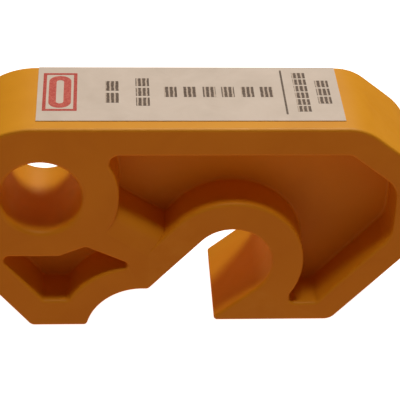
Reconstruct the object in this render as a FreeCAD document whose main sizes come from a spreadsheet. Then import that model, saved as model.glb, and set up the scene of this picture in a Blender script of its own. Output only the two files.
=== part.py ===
"""Lockout hasp block: one moulded plastic hasp with a padlock bore, an angled hook slot and cored-out
sides, and the printed label on its top face. Millimetres, +Z up, +X to the right, front face at -Y.
The origin is under the middle of the block, at the level of the toe it stands on."""

import FreeCAD, Part
import math
import os

import Sketcher
from FreeCAD import Placement, Rotation, Vector

TOL = 1e-3

# --- driving dimensions -------------------------------------------------------------------------

DIMS = {
    # slab
    "thickness": 25.4,
    "web_thickness": 6.4,
    "height_top": 48.3,
    "half_length": 47.65,
    "shoulder_x": 34.15,
    "shoulder_z": 37.7,
    "flank_z": 20.8,
    "foot_x": 30.35,
    "foot_z": 1.05,
    "toe_x": -33.0,
    "knee_z": 18.25,
    "step_x": -2.25,
    # padlock bore and its boss
    "bore_x": -30.25,
    "bore_z": 32.1,
    "bore_radius": 8.2,
    "boss_radius": 15.7,
    # hook slot and the band round it
    "hook_x": 8.75,
    "hook_z": 15.8,
    "hook_radius": 8.4,
    "hook_band_radius": 15.0,
    "hook_arm_angle": 48.0,
    "hook_tip_angle": 40.6,
    "hook_mouth_z": -4.0,
    # arch between the toe and the hook arm
    "arch_x": -9.65,
    "arch_z": -2.7,
    "arch_radius": 12.0,
    "arch_band_radius": 18.0,
    # main side pocket
    "pocket_top_z": 42.1,
    "pocket_shoulder_x": 31.75,
    "pocket_right_x": 41.75,
    "pocket_shoulder_z": 34.3,
    "pocket_flank_z": 22.6,
    "pocket_foot_x": 27.05,
    "pocket_foot_z": 5.55,
    "pocket_leg_x": 21.35,
    "valley_ring_z": 23.6,
    "valley_arm_z": 18.35,
    # small side pocket over the toe
    "toe_pocket_left_x": -39.35,
    "toe_pocket_top_z": 17.8,
    "toe_pocket_rise_x": -26.85,
    "toe_pocket_peak_x": -21.35,
    "toe_pocket_peak_z": 20.1,
    "toe_pocket_tip_x": -11.25,
    "toe_pocket_floor_z": 6.55,
    "toe_pocket_heel_x": -30.35,
    # land between the boss and the hook arm: it leans back a little from the face, and its edge rolls
    # over into the wall of the main pocket
    "land_ring_z": 29.3,
    "land_arm_z": 22.85,
    "land_run": 6.0,
    "land_lean": 7.0,
    "land_round": 3.2,
    "land_length": 15.8,
    # corner radii seen from the front
    "round_end": 16.2,
    "round_shoulder": 10.0,
    "round_corner": 13.0,
    "round_flank": 10.0,
    "round_knee": 6.0,
    "round_foot": 3.0,
    "round_toe": 1.5,
    "round_arch": 1.1,
    "round_tip": 0.65,
    "round_toe_inner": 0.8,
    "round_pocket_large": 6.0,
    "round_pocket_medium": 2.0,
    "round_pocket_small": 1.1,
    "round_pocket_fine": 0.7,
    # edge and floor fillets
    "edge_fillet": 0.7,
    "bore_edge_fillet": 1.1,
    "floor_fillet": 0.6,
    # label on the top face, read with its long side upright
    "label_left": -30.95,
    "label_length": 61.45,
    "label_front": -9.4,
    "label_width": 21.6,
    "adhesive": 0.04,
    "film": 0.12,
    "ink": 0.03,
    "header_left": -29.85,
    "header_front": -5.6,
    "header_length": 6.9,
    "header_width": 15.2,
    "header_border": 0.7,
    "oval_length": 4.5,
    "oval_width": 12.8,
    "oval_slot_length": 1.5,
    "oval_slot_width": 9.4,
    "print_height": 2.75,
    "print_middle": 1.95,
    "rule_left": 18.85,
    "rule_length": 0.4,
    "rule_width": 17.8,
}

# Print lines of the label: node, x of its middle, number of blocks, block width along Y, pitch along Y.
LINES = [
    ("label_line_1", -15.9, 2, 3.9, 4.8),
    ("label_line_2", -9.7, 3, 3.2, 3.95),
    ("label_line_3", 22.65, 6, 2.2, 2.7),
    ("label_line_4", 27.15, 3, 2.7, 3.3),
]
SPACED_LINE = ("label_spaced_line", [-4.05, -0.1, 3.85, 7.65, 11.65, 15.55], 4.1)
SPACED_HEIGHT = 2.6



def make_sheet(doc, dims):
    sheet = doc.addObject("Spreadsheet::Sheet", "Dims")
    sheet.Label = "Dims"
    for row, (alias, value) in enumerate(dims.items(), start=1):
        sheet.set("A%d" % row, alias)
        sheet.set("B%d" % row, "%g" % value)
        sheet.setAlias("B%d" % row, alias)
    doc.recompute()
    return sheet


def cell(alias):
    return "Dims.%s" % alias


def origin_plane(body, role):
    return next(f for f in body.Origin.OriginFeatures if f.Role == role)


def face_sketch(body, name, offset=None, role="XZ_Plane"):
    """A sketch on one of the body's origin planes; offset is the alias of its distance along the normal."""
    sketch = body.newObject("Sketcher::SketchObject", name)
    sketch.AttachmentSupport = [(origin_plane(body, role), "")]
    sketch.MapMode = "FlatFace"
    if offset:
        sketch.setExpression(".AttachmentOffset.Base.z", offset)
    return sketch


def bind(sketch, kind, args, expression, value):
    index = sketch.addConstraint(Sketcher.Constraint(kind, *args, value))
    sketch.setExpression("Constraints[%d]" % index, expression)


def bind_point(sketch, geo, pos, x=None, z=None, where=None):
    """Ties a point's coordinates to sheet cells. where is the point's drawn place."""
    if x:
        bind(sketch, "DistanceX", (-1, 1, geo, pos), cell(x), where[0])
    if z:
        bind(sketch, "DistanceY", (-1, 1, geo, pos), cell(z), where[1])


def circle_sketch(body, name, x, z, radius, offset=None):
    sketch = face_sketch(body, name, offset)
    centre = (DIMS[x], DIMS[z])
    geo = sketch.addGeometry(
        Part.Circle(Vector(*centre, 0), Vector(0, 0, 1), DIMS[radius]), False
    )
    bind_point(sketch, geo, 3, x, z, centre)
    bind(sketch, "Radius", (geo,), cell(radius), DIMS[radius])
    return sketch


def arc_point(arc, x=None, z=None):
    """The point of an arc (centre x alias, centre z alias, radius alias, sign) at one coordinate."""
    cx, cz, radius, sign = DIMS[arc[0]], DIMS[arc[1]], DIMS[arc[2]], arc[3]
    if x is not None:
        return (x, cz + sign * math.sqrt(radius**2 - (x - cx) ** 2))
    return (cx + sign * math.sqrt(radius**2 - (z - cz) ** 2), z)


def loop_sketch(body, name, corners, offset=None):
    """A closed loop. Each corner is (point, x alias or None, z alias or None, arc to the next corner
    or None); an arc is (centre x, centre z, radius, counter-clockwise)."""
    sketch = face_sketch(body, name, offset)
    count = len(corners)
    ends = []
    for i, (start, _, _, arc) in enumerate(corners):
        stop = corners[(i + 1) % count][0]
        a, b = Vector(*start, 0), Vector(*stop, 0)
        if arc is None:
            geo = sketch.addGeometry(Part.LineSegment(a, b), False)
            ends.append((geo, 1, 2))
            continue
        cx, cz, radius, ccw = arc
        centre = Vector(DIMS[cx], DIMS[cz], 0)
        angle_a = math.atan2(a.y - centre.y, a.x - centre.x)
        angle_b = math.atan2(b.y - centre.y, b.x - centre.x)
        first, last = (angle_a, angle_b) if ccw else (angle_b, angle_a)
        circle = Part.Circle(centre, Vector(0, 0, 1), DIMS[radius])
        geo = sketch.addGeometry(Part.ArcOfCircle(circle, first, last), False)
        bind_point(sketch, geo, 3, cx, cz, (centre.x, centre.y))
        bind(sketch, "Radius", (geo,), cell(radius), DIMS[radius])
        ends.append((geo, 1, 2) if ccw else (geo, 2, 1))
    for i in range(count):
        geo, _, last = ends[i]
        following, first, _ = ends[(i + 1) % count]
        sketch.addConstraint(Sketcher.Constraint("Coincident", geo, last, following, first))
    for (point, x, z, _), (geo, first, _) in zip(corners, ends):
        bind_point(sketch, geo, first, x, z, point)
    return sketch


def corner(x, z, arc=None):
    """A corner whose two coordinates are sheet cells."""
    return ((DIMS[x], DIMS[z]), x, z, arc)


def pocket(body, sketch, name, length=None, through=False, outward=False):
    cut = body.newObject("PartDesign::Pocket", name)
    cut.Profile = sketch
    if through:
        cut.SideType = "Symmetric"
        cut.Type = "ThroughAll"
    else:
        cut.Length = 1.0
        cut.setExpression("Length", length)
        cut.Reversed = outward
    return checked_cut(body, cut)


def checked_cut(body, cut, base=None):
    """Recomputes and makes sure that the feature removed material."""
    before = (base or cut.BaseFeature).Shape.Volume
    body.Document.recompute()
    if cut.Shape.Volume > before - 1.0:
        raise RuntimeError("%s removed nothing" % cut.Name)
    return cut


def mirrored(body, features, name):
    mirror = body.newObject("PartDesign::Mirrored", name)
    mirror.Originals = features
    mirror.MirrorPlane = (origin_plane(body, "XZ_Plane"), [""])
    body.Tip = mirror
    return checked_cut(body, mirror, features[-1])


def depth_edges(shape, spots, near=0.05):
    """Names of the straight edges that run along Y within a small distance of the (x, z) spots."""
    names = []
    for i, edge in enumerate(shape.Edges, start=1):
        box = edge.BoundBox
        if edge.Degenerated or max(box.XLength, box.ZLength) > 0.02 or box.YLength < 0.1:
            continue
        at = edge.CenterOfMass
        if any(math.hypot(at.x - x, at.z - z) < near for x, z in spots):
            names.append("Edge%d" % i)
    return names


def fillet(body, name, edges, radius):
    if not edges:
        raise RuntimeError("%s found no edges" % name)
    base = body.Tip
    feature = body.newObject("PartDesign::Fillet", name)
    feature.Base = (base, edges)
    feature.setExpression("Radius", cell(radius))
    body.Document.recompute()
    if feature.Shape.isNull() or not feature.Shape.isValid() or "Invalid" in feature.State:
        raise RuntimeError("%s failed" % name)
    return feature


# --- the moulded block --------------------------------------------------------------------------


def slab_sketch(body):
    """The outside shape with sharp corners. The step in its underside falls in the arch."""
    d = DIMS
    corners = [
        ((-d["half_length"], d["height_top"]), None, "height_top", None),
        corner("shoulder_x", "height_top"),
        corner("half_length", "shoulder_z"),
        corner("half_length", "flank_z"),
        corner("foot_x", "foot_z"),
        corner("step_x", "foot_z"),
        ((d["step_x"], 0.0), "step_x", None, None),
        ((d["toe_x"], 0.0), "toe_x", None, None),
        ((-d["half_length"], d["knee_z"]), None, "knee_z", None),
    ]
    sketch = loop_sketch(body, "Outline", corners)
    left_x = -d["half_length"]
    for geo in (0, 8):
        index = sketch.addConstraint(Sketcher.Constraint("DistanceX", -1, 1, geo, 1, left_x))
        sketch.setExpression("Constraints[%d]" % index, "-Dims.half_length")
    for geo in (6, 7):
        sketch.addConstraint(Sketcher.Constraint("PointOnObject", geo, 1, -1))
    return sketch


def hook_slot_sketch(body):
    """The slot opens down and to the left: a round end, and two straight sides that spread a little."""
    d = DIMS
    arm, tip = math.radians(d["hook_arm_angle"]), math.radians(d["hook_tip_angle"])
    cx, cz, radius, low = d["hook_x"], d["hook_z"], d["hook_radius"], d["hook_mouth_z"]
    arm_end = (cx - radius * math.sin(arm), cz + radius * math.cos(arm))
    tip_end = (cx + radius * math.sin(tip), cz - radius * math.cos(tip))
    arm_far = (arm_end[0] - (arm_end[1] - low) / math.tan(arm), low)
    tip_far = (tip_end[0] - (tip_end[1] - low) / math.tan(tip), low)
    sketch = face_sketch(body, "HookSlotOutline")
    circle = Part.Circle(Vector(cx, cz, 0), Vector(0, 0, 1), radius)
    arc = Part.ArcOfCircle(circle, tip - math.pi / 2, arm + math.pi / 2)
    geo = sketch.addGeometry(arc, False)
    points = [arm_end, arm_far, tip_far, tip_end]
    lines = [
        sketch.addGeometry(Part.LineSegment(Vector(*a, 0), Vector(*b, 0)), False)
        for a, b in zip(points, points[1:])
    ]
    arm_line, mouth_line, tip_line = lines
    sketch.addConstraint(Sketcher.Constraint("Tangent", geo, 2, arm_line, 1))
    sketch.addConstraint(Sketcher.Constraint("Coincident", arm_line, 2, mouth_line, 1))
    sketch.addConstraint(Sketcher.Constraint("Coincident", mouth_line, 2, tip_line, 1))
    sketch.addConstraint(Sketcher.Constraint("Tangent", tip_line, 2, geo, 1))
    bind_point(sketch, geo, 3, "hook_x", "hook_z", (cx, cz))
    bind(sketch, "Radius", (geo,), cell("hook_radius"), radius)
    bind_point(sketch, mouth_line, 1, None, "hook_mouth_z", arm_far)
    sketch.addConstraint(Sketcher.Constraint("Horizontal", mouth_line))
    bind(sketch, "Angle", (-1, 1, arm_line, 2), "Dims.hook_arm_angle * 1 deg", arm)
    bind(sketch, "Angle", (-1, 1, tip_line, 1), "Dims.hook_tip_angle * 1 deg", tip)
    return sketch


RING = ("bore_x", "bore_z", "boss_radius")
BAND = ("hook_x", "hook_z", "hook_band_radius")
ARCH_BAND = ("arch_x", "arch_z", "arch_band_radius")


def arm_line_x(z):
    """Where the outer side of the hook arm stands at one height."""
    d = DIMS
    arm = math.radians(d["hook_arm_angle"])
    x = d["hook_x"] - d["hook_band_radius"] * math.sin(arm)
    return x - (d["hook_z"] + d["hook_band_radius"] * math.cos(arm) - z) / math.tan(arm)


def main_pocket_corners():
    d = DIMS
    arm = math.radians(d["hook_arm_angle"])
    band = d["hook_band_radius"]
    band_top = (d["hook_x"] - band * math.sin(arm), d["hook_z"] + band * math.cos(arm))
    ring_top = arc_point((*RING, 1), z=d["pocket_top_z"])
    ring_low = arc_point((*RING, 1), z=d["valley_ring_z"])
    leg = arc_point((*BAND, -1), x=d["pocket_leg_x"])
    return [
        (ring_top, None, "pocket_top_z", None),
        corner("pocket_shoulder_x", "pocket_top_z"),
        corner("pocket_right_x", "pocket_shoulder_z"),
        corner("pocket_right_x", "pocket_flank_z"),
        corner("pocket_foot_x", "pocket_foot_z"),
        corner("pocket_leg_x", "pocket_foot_z"),
        (leg, "pocket_leg_x", None, (*BAND, True)),
        (band_top, None, None, None),
        ((arm_line_x(d["valley_arm_z"]), d["valley_arm_z"]), None, "valley_arm_z", None),
        (ring_low, None, "valley_ring_z", (*RING, True)),
    ]


def main_pocket_sketch(body):
    sketch = loop_sketch(body, "MainPocketOutline", main_pocket_corners(), "Dims.thickness / 2")
    angle = math.radians(DIMS["hook_arm_angle"])
    sketch.delConstraint(sketch_coincident(sketch, 6, 7))
    sketch.addConstraint(Sketcher.Constraint("Tangent", 6, 2, 7, 1))
    bind(sketch, "Angle", (-1, 1, 7, 2), "Dims.hook_arm_angle * 1 deg", angle)
    return sketch


def sketch_coincident(sketch, first, second):
    """Index of the constraint that joins two neighbouring edges."""
    for index, item in enumerate(sketch.Constraints):
        if item.Type == "Coincident" and item.First == first and item.Second == second:
            return index
    raise RuntimeError("no joint between edges %d and %d" % (first, second))


def toe_pocket_corners():
    d = DIMS
    tip = arc_point((*ARCH_BAND, 1), x=d["toe_pocket_tip_x"])
    heel = arc_point((*ARCH_BAND, -1), z=d["toe_pocket_floor_z"])
    return [
        corner("toe_pocket_left_x", "toe_pocket_top_z"),
        corner("toe_pocket_rise_x", "toe_pocket_top_z"),
        corner("toe_pocket_peak_x", "toe_pocket_peak_z"),
        (tip, "toe_pocket_tip_x", None, (*ARCH_BAND, True)),
        (heel, None, "toe_pocket_floor_z", None),
        corner("toe_pocket_heel_x", "toe_pocket_floor_z"),
    ]


def land_sketch(body):
    """Section across the land, from the front face over the rolled edge and down to the web, and the
    same again to the back face. Its plane stands square to the pocket wall; local x runs from the land
    towards the pocket with the wall at 0, local y towards the front with the middle of the web at 0."""
    d = DIMS
    ring = arc_point((*RING, 1), z=d["land_ring_z"])
    arm = (arm_line_x(d["land_arm_z"]), d["land_arm_z"])
    angle = math.atan2(arm[1] - ring[1], arm[0] - ring[0])
    along = Vector(math.cos(angle), math.sin(angle), 0)
    across = Vector(-math.sin(angle), math.cos(angle), 0)
    turn = Rotation(across, Vector(0, 0, 1), along, "ZXY")
    sketch = face_sketch(body, "LandSection")
    sketch.AttachmentOffset = Placement(Vector((ring[0] + arm[0]) / 2, (ring[1] + arm[1]) / 2, 0), turn)

    face, web = d["thickness"] / 2, d["web_thickness"] / 2
    run, radius, floor = d["land_run"], d["land_round"], d["floor_fillet"]
    lean = math.radians(d["land_lean"])
    roll_y = face - (radius + math.sin(lean) * (run - radius)) / math.cos(lean)
    roll = (-radius + radius * math.sin(lean), roll_y + radius * math.cos(lean))
    half = math.pi / 2
    # end points of each piece from the back web to the front face; an arc has centre, radius and angles
    front = [
        ((floor, web), (0, web + floor), ((floor, web + floor), floor, math.pi, 3 * half)),
        ((0, web + floor), (0, roll_y), None),
        ((0, roll_y), roll, ((-radius, roll_y), radius, 0, half - lean)),
        (roll, (-run, face), None),
        ((-run, face), (-run - 1.0, face), None),
    ]
    normal = Vector(0, 0, 1)
    for side in (1, -1):
        for start, stop, arc in front:
            if arc is None:
                a, b = Vector(start[0], side * start[1], 0), Vector(stop[0], side * stop[1], 0)
                sketch.addGeometry(Part.LineSegment(a, b), False)
                continue
            (cx, cy), size, first, last = arc
            if side < 0:
                first, last = -last, -first
            circle = Part.Circle(Vector(cx, side * cy, 0), normal, size)
            sketch.addGeometry(Part.ArcOfCircle(circle, first, last), False)
    for x in (floor, -run - 1.0):
        y = web if x > 0 else face
        sketch.addGeometry(Part.LineSegment(Vector(x, -y, 0), Vector(x, y, 0)), False)
    for geo in range(sketch.GeometryCount):
        sketch.addConstraint(Sketcher.Constraint("Block", geo))
    return sketch


def build_block(doc):
    body = doc.addObject("PartDesign::Body", "hasp_block")
    body.Label = "hasp_block"
    body.Placement = Placement()
    d = DIMS

    slab = body.newObject("PartDesign::Pad", "Slab")
    slab.Profile = slab_sketch(body)
    slab.SideType = "Symmetric"
    slab.setExpression("Length", cell("thickness"))
    doc.recompute()

    arch = circle_sketch(body, "ArchOutline", "arch_x", "arch_z", "arch_radius")
    pocket(body, arch, "Arch", through=True)
    pocket(body, hook_slot_sketch(body), "HookSlot", through=True)
    bore = circle_sketch(body, "BoreOutline", "bore_x", "bore_z", "bore_radius")
    pocket(body, bore, "PadlockBore", through=True)

    # outside corners, seen from the front
    half, top = d["half_length"], d["height_top"]
    rounds = [
        ("round_end", [(-half, top)]),
        ("round_shoulder", [(d["shoulder_x"], top)]),
        ("round_corner", [(half, d["shoulder_z"])]),
        ("round_flank", [(half, d["flank_z"])]),
        ("round_knee", [(-half, d["knee_z"])]),
        ("round_foot", [(d["foot_x"], d["foot_z"])]),
        ("round_toe", [(d["toe_x"], 0.0)]),
    ]
    toe_inner = (d["arch_x"] - math.sqrt(d["arch_radius"] ** 2 - d["arch_z"] ** 2), 0.0)
    tip_angle = math.radians(d["hook_tip_angle"])
    tip_x = d["hook_x"] + d["hook_radius"] * math.sin(tip_angle)
    tip_z = d["hook_z"] - d["hook_radius"] * math.cos(tip_angle)
    tip = (tip_x - (tip_z - d["foot_z"]) / math.tan(tip_angle), d["foot_z"])
    rounds += [
        ("round_toe_inner", [toe_inner]),
        ("round_tip", [tip]),
        ("round_arch", [arch_meets_slot()]),
    ]
    for radius, spots in rounds:
        fillet(body, "F_" + radius, depth_edges(body.Tip.Shape, spots), radius)

    # edges of the two faces
    face_y = d["thickness"] / 2
    at_bore = (d["bore_x"], d["bore_z"])
    rims = plane_edges(body.Tip.Shape, face_y, around=at_bore)
    fillet(body, "F_bore_edge", rims, "bore_edge_fillet")
    fillet(body, "F_edge", plane_edges(body.Tip.Shape, face_y, skip=at_bore), "edge_fillet")

    # side pockets, cut from the front and mirrored to the back
    depth = "(Dims.thickness - Dims.web_thickness) / 2"
    main = pocket(body, main_pocket_sketch(body), "MainPocket", depth)
    toe_sketch = loop_sketch(body, "ToePocketOutline", toe_pocket_corners(), "Dims.thickness / 2")
    small = pocket(body, toe_sketch, "ToePocket", depth)
    mirrored(body, [main, small], "BackPockets")

    # corners of the side pockets, seen from the front
    at = [c[0] for c in main_pocket_corners()]
    toe_at = [c[0] for c in toe_pocket_corners()]
    pocket_rounds = [
        ("round_pocket_large", at[2:4]),
        ("round_pocket_medium", [at[0], at[1], toe_at[1]]),
        ("round_pocket_small", [at[4], at[5], toe_at[0], toe_at[2], toe_at[4], toe_at[5]]),
        ("round_pocket_fine", [at[6], at[8], at[9], toe_at[3]]),
    ]
    for radius, spots in pocket_rounds:
        fillet(body, "F_" + radius, depth_edges(body.Tip.Shape, spots), radius)

    floor_y = d["web_thickness"] / 2
    for name, box in (("toe", TOE_POCKET_BOX), ("main", MAIN_POCKET_BOX)):
        floor = plane_edges(body.Tip.Shape, floor_y, box)
        fillet(body, "F_floor_" + name, floor, "floor_fillet")
        rim = plane_edges(body.Tip.Shape, face_y, box)
        fillet(body, "F_rim_" + name, rim, "edge_fillet")

    before = body.Tip.Shape.Volume
    land = body.newObject("PartDesign::Pad", "Land")
    land.Profile = land_sketch(body)
    land.SideType = "Symmetric"
    land.setExpression("Length", cell("land_length"))
    doc.recompute()
    if land.Shape.Volume < before + 1.0:
        raise RuntimeError("Land added nothing")
    return body


# Boxes (low x, z, high x, z) that hold the outlines of the two side pockets and nothing else.
TOE_POCKET_BOX = (-40.2, 6.3, -10.9, 20.4)
MAIN_POCKET_BOX = (-20.0, 5.2, 42.0, 42.4)


def plane_edges(shape, depth, box=None, around=None, skip=None):
    """Names of the edges at y = +depth or -depth: within a box, only the circles about the (x, z)
    around, or all but those about skip. The hook slot's rim never counts."""
    names = []
    for i, edge in enumerate(shape.Edges, start=1):
        size = edge.BoundBox
        if edge.Degenerated or size.YLength > TOL or abs(abs(size.YMin) - depth) > TOL:
            continue
        if box:
            inside = box[0] < size.XMin and size.XMax < box[2] and box[1] < size.ZMin and size.ZMax < box[3]
            in_toe = box != TOE_POCKET_BOX and size.XMax < -10.9 and size.ZMax < 20.4
            if inside and not in_toe and not on_slot_rim(edge):
                names.append("Edge%d" % i)
            continue
        spot = around or skip
        middle = size.Center
        centred = abs(size.XLength - size.ZLength) < TOL
        centred = centred and math.hypot(middle.x - spot[0], middle.z - spot[1]) < TOL
        if centred == bool(around):
            names.append("Edge%d" % i)
    return names


def on_slot_rim(edge):
    """Edges round the hook slot: they lie nearer to its middle line than the pocket does."""
    d = DIMS
    at = edge.CenterOfMass
    arm = math.radians(d["hook_arm_angle"])
    dx, dz = at.x - d["hook_x"], at.z - d["hook_z"]
    off = abs(-dx * math.sin(arm) + dz * math.cos(arm))
    reach = (d["hook_radius"] + d["hook_band_radius"]) / 2
    return off < reach and dx * math.cos(arm) + dz * math.sin(arm) < reach and at.x < d["pocket_leg_x"] - 0.5


def arch_meets_slot():
    """Where the arch runs into the arm side of the slot."""
    d = DIMS
    arm = math.radians(d["hook_arm_angle"])
    px = d["hook_x"] - d["hook_radius"] * math.sin(arm) - d["arch_x"]
    pz = d["hook_z"] + d["hook_radius"] * math.cos(arm) - d["arch_z"]
    ux, uz = -math.cos(arm), -math.sin(arm)
    along = px * ux + pz * uz
    off = px**2 + pz**2 - d["arch_radius"] ** 2
    run = -along - math.sqrt(along**2 - off)
    return (px + run * ux + d["arch_x"], pz + run * uz + d["arch_z"])


# --- the label ----------------------------------------------------------------------------------


def box(doc, name, length, width, height, place):
    """A plate whose sizes and place are expressions of the sheet, or plain numbers for a print block."""
    plate = doc.addObject("Part::Box", name)
    plate.Label = name
    for prop, value in (("Length", length), ("Width", width), ("Height", height)):
        if isinstance(value, str):
            plate.setExpression(prop, value)
        else:
            setattr(plate, prop, value)
    for axis, value in zip("xyz", place):
        plate.setExpression(".Placement.Base.%s" % axis, str(value))
    return plate


FILM_TOP = "(Dims.height_top + Dims.adhesive + Dims.film)"
LABEL_MIDDLE = "(Dims.header_left + Dims.header_length / 2)"
HEADER_MIDDLE = "(Dims.header_front + Dims.header_width / 2)"


def build_label(doc):
    """The self-adhesive label: adhesive, white film and the print on it, each lying on the one below."""
    corner_xy = ("Dims.label_left", "Dims.label_front")
    adhesive = box(doc, "label_adhesive", "Dims.label_length", "Dims.label_width", "Dims.adhesive",
                   (*corner_xy, "Dims.height_top"))
    film = box(doc, "label_film", "Dims.label_length", "Dims.label_width", "Dims.film",
               (*corner_xy, "Dims.height_top + Dims.adhesive"))
    rule_y = "Dims.print_middle - Dims.rule_width / 2"
    rule = box(doc, "label_rule", "Dims.rule_length", "Dims.rule_width", "Dims.ink",
               ("Dims.rule_left", rule_y, FILM_TOP))
    nodes = [adhesive, film, rule, header_frame(doc), header_oval(doc)]
    for name, middle_x, count, width, pitch in LINES:
        starts = [(i - (count - 1) / 2) * pitch - width / 2 for i in range(count)]
        blocks = [(middle_x, "Dims.print_middle + %g" % y, width, "Dims.print_height") for y in starts]
        nodes.append(print_line(doc, name, blocks))
    name, middles, width = SPACED_LINE
    start = "Dims.print_middle - %g" % (width / 2)
    nodes.append(print_line(doc, name, [(x, start, width, str(SPACED_HEIGHT)) for x in middles]))
    return nodes


def print_line(doc, name, blocks):
    """One line of print: plain blocks side by side, in one node."""
    plates = [
        box(doc, "%s_block_%d" % (name, i), height, width, "Dims.ink",
            ("%g - %s / 2" % (x, height), y, FILM_TOP))
        for i, (x, y, width, height) in enumerate(blocks, start=1)
    ]
    line = doc.addObject("Part::Compound", name)
    line.Label = name
    line.Links = plates
    return line


def header_frame(doc):
    """The border of the header panel."""
    outer = box(doc, "HeaderOuter", "Dims.header_length", "Dims.header_width", "Dims.ink",
                ("Dims.header_left", "Dims.header_front", FILM_TOP))
    inner = box(doc, "HeaderInner", "Dims.header_length - 2 * Dims.header_border",
                "Dims.header_width - 2 * Dims.header_border", "Dims.ink",
                ("Dims.header_left + Dims.header_border", "Dims.header_front + Dims.header_border",
                 FILM_TOP))
    frame = doc.addObject("Part::Cut", "label_header_frame")
    frame.Label = "label_header_frame"
    frame.Base = outer
    frame.Tool = inner
    return frame


def header_oval(doc):
    """The oval of the header panel, with a plain slot left white in its middle."""
    body = doc.addObject("PartDesign::Body", "label_header_oval")
    body.Label = "label_header_oval"
    for axis, value in zip("xyz", (LABEL_MIDDLE, HEADER_MIDDLE, FILM_TOP)):
        body.setExpression(".Placement.Base.%s" % axis, value)
    oval = stadium_sketch(body, "Oval", "oval_length", "oval_width")
    pad = body.newObject("PartDesign::Pad", "OvalPad")
    pad.Profile = oval
    pad.setExpression("Length", "Dims.ink")
    doc.recompute()
    slot = stadium_sketch(body, "OvalSlot", "oval_slot_length", "oval_slot_width")
    cut = body.newObject("PartDesign::Pocket", "OvalSlotCut")
    cut.Profile = slot
    cut.SideType = "Symmetric"
    cut.Type = "ThroughAll"
    before = pad.Shape.Volume
    doc.recompute()
    if cut.Shape.Volume > before - 0.01:
        raise RuntimeError("the oval's slot removed nothing")
    return body


def stadium_sketch(body, name, length, width):
    """Two half circles joined by straight sides, long side along Y, about the body's origin."""
    sketch = face_sketch(body, name, role="XY_Plane")
    radius = DIMS[length] / 2
    reach = DIMS[width] / 2 - radius
    up, down = Vector(0, reach, 0), Vector(0, -reach, 0)
    normal = Vector(0, 0, 1)
    top = sketch.addGeometry(Part.ArcOfCircle(Part.Circle(up, normal, radius), 0, math.pi), False)
    low_circle = Part.Circle(down, normal, radius)
    low = sketch.addGeometry(Part.ArcOfCircle(low_circle, math.pi, 2 * math.pi), False)
    left = sketch.addGeometry(
        Part.LineSegment(Vector(-radius, reach, 0), Vector(-radius, -reach, 0)), False
    )
    right = sketch.addGeometry(
        Part.LineSegment(Vector(radius, -reach, 0), Vector(radius, reach, 0)), False
    )
    for pair in ((top, 2, left, 1), (left, 2, low, 1), (low, 2, right, 1), (right, 2, top, 1)):
        sketch.addConstraint(Sketcher.Constraint("Tangent", *pair))
    sketch.addConstraint(Sketcher.Constraint("PointOnObject", top, 3, -2))
    sketch.addConstraint(Sketcher.Constraint("Symmetric", top, 3, low, 3, -1, 1))
    sketch.addConstraint(Sketcher.Constraint("Equal", top, low))
    bind(sketch, "Radius", (top,), cell(length) + " / 2", radius)
    middle = "(Dims.%s - Dims.%s) / 2" % (width, length)
    bind(sketch, "DistanceY", (-1, 1, top, 3), middle, reach)
    return sketch


def main():
    doc = FreeCAD.newDocument("LockoutHasp")
    make_sheet(doc, DIMS)
    nodes = [build_block(doc)] + build_label(doc)
    doc.recompute()
    for obj in doc.Objects:
        if any(word in obj.State for word in ("Invalid", "Error")):
            raise RuntimeError("%s: %s" % (obj.Name, obj.State))
    for node in nodes:
        if node.Shape.isNull() or not node.Shape.isValid():
            raise RuntimeError("%s has no valid shape" % node.Label)
    os.makedirs("parts", exist_ok=True)
    for node in nodes:
        print(node.Label, len(node.Shape.Solids), round(node.Shape.Volume, 2))
        node.Shape.exportStep("parts/%s.step" % node.Label)


main()
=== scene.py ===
"""Looks of the moulded lockout hook block: materials, floor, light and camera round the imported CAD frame."""

import math

import bpy
from mathutils import Matrix, Vector

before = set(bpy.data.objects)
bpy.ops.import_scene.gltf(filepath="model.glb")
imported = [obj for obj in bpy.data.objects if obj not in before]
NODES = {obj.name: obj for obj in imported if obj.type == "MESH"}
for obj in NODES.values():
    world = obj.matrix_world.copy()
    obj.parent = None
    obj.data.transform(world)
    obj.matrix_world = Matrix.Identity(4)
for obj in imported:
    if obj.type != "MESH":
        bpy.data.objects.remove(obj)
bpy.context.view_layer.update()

MM = 0.001


# ---------------------------------------------------------------- node helpers


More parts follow.
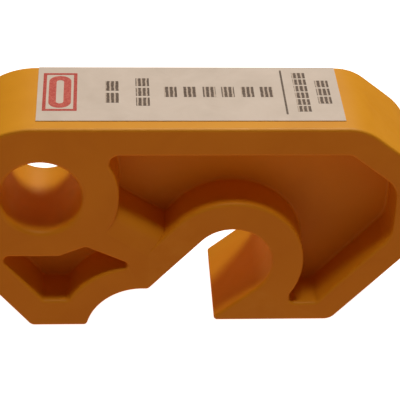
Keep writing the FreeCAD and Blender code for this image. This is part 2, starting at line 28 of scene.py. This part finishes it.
class Graph:
    """A material's node tree, built with short calls."""

    def __init__(self, name):
        self.material = bpy.data.materials.new(name)
        self.material.use_nodes = True
        self.tree = self.material.node_tree
        self.tree.nodes.clear()

    def node(self, kind, values=None, **settings):
        made = self.tree.nodes.new(kind)
        for key, value in settings.items():
            setattr(made, key, value)
        for key, value in (values or {}).items():
            made.inputs[key].default_value = value
        return made

    def link(self, source, target):
        self.tree.links.new(source, target)

    def place(self):
        """Position in the object's own metres."""
        return self.node("ShaderNodeTexCoord").outputs["Object"]

    def math(self, operation, a, b):
        made = self.node("ShaderNodeMath", operation=operation)
        for slot, value in enumerate((a, b)):
            if isinstance(value, (int, float)):
                made.inputs[slot].default_value = value
            else:
                self.link(value, made.inputs[slot])
        return made.outputs[0]

    def mix(self, factor, a, b):
        made = self.node("ShaderNodeMix", data_type="RGBA")
        sockets = (made.inputs[0], made.inputs[6], made.inputs[7])
        for socket, value in zip(sockets, (factor, a, b)):
            if isinstance(value, (int, float, tuple)):
                socket.default_value = value
            else:
                self.link(value, socket)
        return made.outputs[2]

    def remap(self, value, low, high, to_low=0.0, to_high=1.0):
        made = self.node(
            "ShaderNodeMapRange",
            {"From Min": low, "From Max": high, "To Min": to_low, "To Max": to_high},
        )
        self.link(value, made.inputs["Value"])
        return made.outputs["Result"]

    def noise(self, vector, size_mm, detail=2.0, roughness=0.5, distortion=0.0):
        """Noise whose features are about size_mm across."""
        made = self.node(
            "ShaderNodeTexNoise",
            {
                "Scale": 1.0 / (size_mm * MM),
                "Detail": detail,
                "Roughness": roughness,
                "Distortion": distortion,
            },
        )
        self.link(vector, made.inputs["Vector"])
        return made.outputs["Fac"]

    def bump(self, height, distance_mm, strength, normal=None):
        made = self.node("ShaderNodeBump", {"Strength": strength, "Distance": distance_mm * MM})
        self.link(height, made.inputs["Height"])
        if normal is not None:
            self.link(normal, made.inputs["Normal"])
        return made.outputs["Normal"]

    def shader(self, values):
        made = self.node("ShaderNodeBsdfPrincipled", values)
        out = self.node("ShaderNodeOutputMaterial")
        self.link(made.outputs[0], out.inputs["Surface"])
        return made


def linear(red, green, blue):
    """A colour given as 0-255 display values, as linear RGBA."""

    def one(value):
        value /= 255.0
        return value / 12.92 if value <= 0.04045 else ((value + 0.055) / 1.055) ** 2.4

    return (one(red), one(green), one(blue), 1.0)


# ------------------------------------------------------------------- materials

BODY_COLOUR = linear(236, 171, 34)
DEEP_COLOUR = linear(230, 163, 28)
# painted highlight: the lighter colour, and how much of it is laid on the convex edges
EDGE_HIGHLIGHT_COLOUR = linear(242, 186, 60)
PLASTIC_ROUGHNESS = (0.44, 0.54)
EDGE_HIGHLIGHT_SHARE = 0.5

FILM_COLOURS = linear(216, 212, 205), linear(228, 224, 218)
FILM_ROUGHNESS = (0.40, 0.5)
ADHESIVE_COLOURS = linear(176, 158, 128), linear(196, 182, 156)
ADHESIVE_ROUGHNESS = 0.55
BARE_FILM_COLOUR = linear(206, 198, 188)
INK_ROUGHNESS = (0.42, 0.55)
PRINT_BAR_MM = 0.92  # from the middle of one printed bar to the next
PRINT_WOBBLE = 0.35  # how far the bars wander, as a share of that distance
BAR_EDGE = (0.27, 0.37)  # where a bar ends, from 0 at its middle to 0.5 between two bars


def moulded_plastic():
    """Satin injection-moulded nylon: fine spark-eroded grain, faint flow mottling, and a painted highlight
    that lightens the convex edges in patches.
    """
    g = Graph("moulded_plastic")
    place = g.place()
    flow = g.noise(place, size_mm=14.0, detail=3.0, roughness=0.55, distortion=0.6)
    colour = g.mix(g.remap(flow, 0.35, 0.65), DEEP_COLOUR, BODY_COLOUR)
    pointed = g.node("ShaderNodeNewGeometry").outputs["Pointiness"]
    edge = g.remap(pointed, 0.515, 0.56)
    patchy = g.remap(g.noise(place, size_mm=3.0, detail=4.0, roughness=0.6), 0.35, 0.75)
    # painted edge highlight: the lighter colour goes on convex edges, broken into patches by noise
    painted_edge_highlight = g.math("MULTIPLY", g.math("MULTIPLY", edge, patchy), EDGE_HIGHLIGHT_SHARE)
    shader = g.shader({"IOR": 1.5, "Specular IOR Level": 0.35})
    g.link(g.mix(painted_edge_highlight, colour, EDGE_HIGHLIGHT_COLOUR), shader.inputs["Base Color"])
    smear = g.noise(place, size_mm=6.0, detail=4.0, roughness=0.6, distortion=1.2)
    g.link(g.remap(smear, 0.3, 0.7, *PLASTIC_ROUGHNESS), shader.inputs["Roughness"])
    waviness = g.bump(g.noise(place, size_mm=9.0, detail=1.0), distance_mm=0.05, strength=0.5)
    grain = g.noise(place, size_mm=0.28)
    g.link(g.bump(grain, distance_mm=0.012, strength=0.5, normal=waviness), shader.inputs["Normal"])
    return g.material


def label_vinyl():
    """Cast vinyl film: warm white, soft sheen, slightly mottled and with a faint orange-peel."""
    g = Graph("label_vinyl")
    place = g.place()
    stain = g.noise(place, size_mm=8.0, detail=4.0, roughness=0.6, distortion=0.5)
    shader = g.shader({"IOR": 1.46})
    g.link(g.mix(g.remap(stain, 0.3, 0.7), *FILM_COLOURS), shader.inputs["Base Color"])
    sheen = g.remap(g.noise(place, size_mm=2.5, detail=3.0), 0.3, 0.7, *FILM_ROUGHNESS)
    g.link(sheen, shader.inputs["Roughness"])
    peel = g.noise(place, size_mm=0.8)
    g.link(g.bump(peel, distance_mm=0.01, strength=0.5), shader.inputs["Normal"])
    return g.material


def adhesive():
    """The yellowed edge of the adhesive layer."""
    g = Graph("label_adhesive")
    place = g.place()
    shader = g.shader({"Roughness": ADHESIVE_ROUGHNESS})
    mottle = g.noise(place, size_mm=1.5, detail=3.0)
    g.link(g.mix(mottle, *ADHESIVE_COLOURS), shader.inputs["Base Color"])
    ripple = g.noise(place, size_mm=0.5)
    g.link(g.bump(ripple, distance_mm=0.01, strength=0.6), shader.inputs["Normal"])
    return g.material


def ink(name, solid, worn, barred=False):
    """Screen-printed ink, thin enough to let the film show through in specks. Barred ink is laid in
    plain parallel bars with the film between them."""
    g = Graph(name)
    place = g.place()
    specks = g.remap(g.noise(place, size_mm=0.35, detail=3.0, roughness=0.6), 0.42, 0.6)
    colour = g.mix(specks, solid, worn)
    if barred:
        split = g.node("ShaderNodeSeparateXYZ")
        g.link(place, split.inputs[0])
        wobble = g.math("MULTIPLY", g.noise(place, size_mm=1.1), PRINT_WOBBLE)
        bars = g.math("MULTIPLY", split.outputs["X"], 1.0 / (PRINT_BAR_MM * MM))
        from_bar = g.math("PINGPONG", g.math("ADD", bars, wobble), 0.5)
        colour = g.mix(g.remap(from_bar, *BAR_EDGE), colour, BARE_FILM_COLOUR)
    shader = g.shader({"IOR": 1.45})
    g.link(colour, shader.inputs["Base Color"])
    sheen = g.remap(g.noise(place, size_mm=1.2), 0.3, 0.7, *INK_ROUGHNESS)
    g.link(sheen, shader.inputs["Roughness"])
    tooth = g.noise(place, size_mm=0.25)
    g.link(g.bump(tooth, distance_mm=0.006, strength=0.6), shader.inputs["Normal"])
    return g.material


PLASTIC = moulded_plastic()
VINYL = label_vinyl()
ADHESIVE = adhesive()
RED_INK = ink("red_ink", linear(186, 62, 60), linear(206, 96, 90))
OVAL_INK = ink("oval_ink", linear(196, 76, 72), linear(214, 112, 104))
RULE_INK = ink("rule_ink", linear(84, 76, 70), linear(112, 104, 96))
PRINT_INK = ink("print_ink", linear(84, 74, 66), linear(112, 102, 94), barred=True)

FINISH = {
    "hasp_block": PLASTIC,
    "label_adhesive": ADHESIVE,
    "label_film": VINYL,
    "label_header_frame": RED_INK,
    "label_header_oval": OVAL_INK,
    "label_rule": RULE_INK,
}

for name, node in NODES.items():
    node.data.materials.clear()
    node.data.materials.append(FINISH.get(name, PRINT_INK))


# ------------------------------------------------------------------- the floor

FLOOR_HALF = 2.5  # metres
FLOOR_DROP = 0.02 * MM  # keeps it clear of the toe's underside
FLOOR_GLOW = 1.0


def stage_floor():
    """A wide, flat, pale floor that keeps its own soft glow, as a lit table does."""
    g = Graph("studio_floor")
    tone = g.noise(g.place(), size_mm=60.0, detail=3.0)
    shader = g.shader(
        {"Roughness": 0.8, "Emission Strength": FLOOR_GLOW, "Emission Color": (1, 1, 1, 1)}
    )
    g.link(g.mix(tone, linear(246, 246, 246), linear(250, 250, 250)), shader.inputs["Base Color"])
    mesh = bpy.data.meshes.new("studio_floor")
    corners = [
        (x * FLOOR_HALF, y * FLOOR_HALF, 0.0) for x, y in ((-1, -1), (1, -1), (1, 1), (-1, 1))
    ]
    mesh.from_pydata(corners, [], [(0, 1, 2, 3)])
    mesh.materials.append(g.material)
    floor = bpy.data.objects.new("studio_floor", mesh)
    floor.location.z = -FLOOR_DROP
    floor.visible_diffuse = False
    floor.visible_glossy = False
    bpy.context.scene.collection.objects.link(floor)


stage_floor()


# ------------------------------------------------------------------- the light

LIGHTS_AIM = (0.0, 0.0, 0.03)
# name, place in metres, size in metres, watts, colour
SOFTBOXES = [
    ("rear_softbox", (0.10, 0.33, 0.60), (0.16, 0.12), 2.2, (1.0, 0.95, 0.90)),
    ("overhead_softbox", (0.03, -0.075, 0.62), (0.16, 0.06), 0.85, (1.0, 0.78, 0.58)),
]

TABLE_GLOW = (0.51, 0.04)  # world strength below the horizon and above it
TABLE_FADE = (-0.1, 0.35)  # where it falls from one to the other, as the direction's height
BACKDROP_GLOW = 0.34  # added behind the object
BACKDROP_FADE = (0.3, 0.8)  # where that comes in, as the direction's y
TABLE_TINT = (1.0, 0.505, 0.335, 1.0)
BACKDROP_TINT = (1.0, 0.52, 0.16, 1.0)
TINT_FADE = (0.2, 0.6)


def area_light(name, place, size, power, colour):
    data = bpy.data.lights.new(name, "AREA")
    data.shape = "RECTANGLE"
    data.size, data.size_y = size
    data.energy = power
    data.color = colour
    lamp = bpy.data.objects.new(name, data)
    lamp.location = place
    lamp.rotation_mode = "QUATERNION"
    lamp.rotation_quaternion = (Vector(LIGHTS_AIM) - Vector(place)).to_track_quat("-Z", "Y")
    bpy.context.scene.collection.objects.link(lamp)


def studio_world():
    """Warm light bounced up from the table in front, a warm backdrop behind, little from above."""
    world = bpy.data.worlds.new("studio")
    bpy.context.scene.world = world
    world.use_nodes = True
    tree = world.node_tree

    def ramp(value, span, low, high):
        made = tree.nodes.new("ShaderNodeMapRange")
        made.inputs["From Min"].default_value, made.inputs["From Max"].default_value = span
        made.inputs["To Min"].default_value = low
        made.inputs["To Max"].default_value = high
        tree.links.new(value, made.inputs["Value"])
        return made.outputs["Result"]

    direction = tree.nodes.new("ShaderNodeTexCoord")
    parts = tree.nodes.new("ShaderNodeSeparateXYZ")
    tree.links.new(direction.outputs["Generated"], parts.inputs[0])
    total = tree.nodes.new("ShaderNodeMath")
    tree.links.new(ramp(parts.outputs["Z"], TABLE_FADE, *TABLE_GLOW), total.inputs[0])
    tree.links.new(ramp(parts.outputs["Y"], BACKDROP_FADE, 0.0, BACKDROP_GLOW), total.inputs[1])
    tint = tree.nodes.new("ShaderNodeMix")
    tint.data_type = "RGBA"
    tint.inputs[6].default_value = TABLE_TINT
    tint.inputs[7].default_value = BACKDROP_TINT
    tree.links.new(ramp(parts.outputs["Y"], TINT_FADE, 0.0, 1.0), tint.inputs[0])
    background = tree.nodes["Background"]
    tree.links.new(total.outputs[0], background.inputs["Strength"])
    tree.links.new(tint.outputs[2], background.inputs["Color"])


for softbox in SOFTBOXES:
    area_light(*softbox)
studio_world()


# ------------------------------------------------------------------ the camera

CAMERA_PLACE = (-17.4 * MM, -283.5 * MM, 212.6 * MM)
CAMERA_YAW, CAMERA_PITCH, CAMERA_ROLL = (math.radians(v) for v in (4.04, 33.66, 2.06))
LENS_MM = 145.71
SENSOR_MM = 36.0
CLIP = (0.02, 20.0)  # metres

forward = Vector(
    (
        math.sin(CAMERA_YAW) * math.cos(CAMERA_PITCH),
        math.cos(CAMERA_YAW) * math.cos(CAMERA_PITCH),
        -math.sin(CAMERA_PITCH),
    )
)
level = Vector((math.cos(CAMERA_YAW), -math.sin(CAMERA_YAW), 0.0))
upright = level.cross(forward)
right = math.cos(CAMERA_ROLL) * level + math.sin(CAMERA_ROLL) * upright
up = math.cos(CAMERA_ROLL) * upright - math.sin(CAMERA_ROLL) * level

camera_data = bpy.data.cameras.new("camera")
camera_data.lens = LENS_MM
camera_data.sensor_width = SENSOR_MM
camera_data.clip_start, camera_data.clip_end = CLIP
camera = bpy.data.objects.new("camera", camera_data)
turn = Matrix((right, up, -forward)).transposed().to_4x4()
camera.matrix_world = Matrix.Translation(CAMERA_PLACE) @ turn
bpy.context.scene.collection.objects.link(camera)
bpy.context.scene.camera = camera

bpy.context.scene.view_settings.view_transform = "Standard"

bpy.context.view_layer.update()
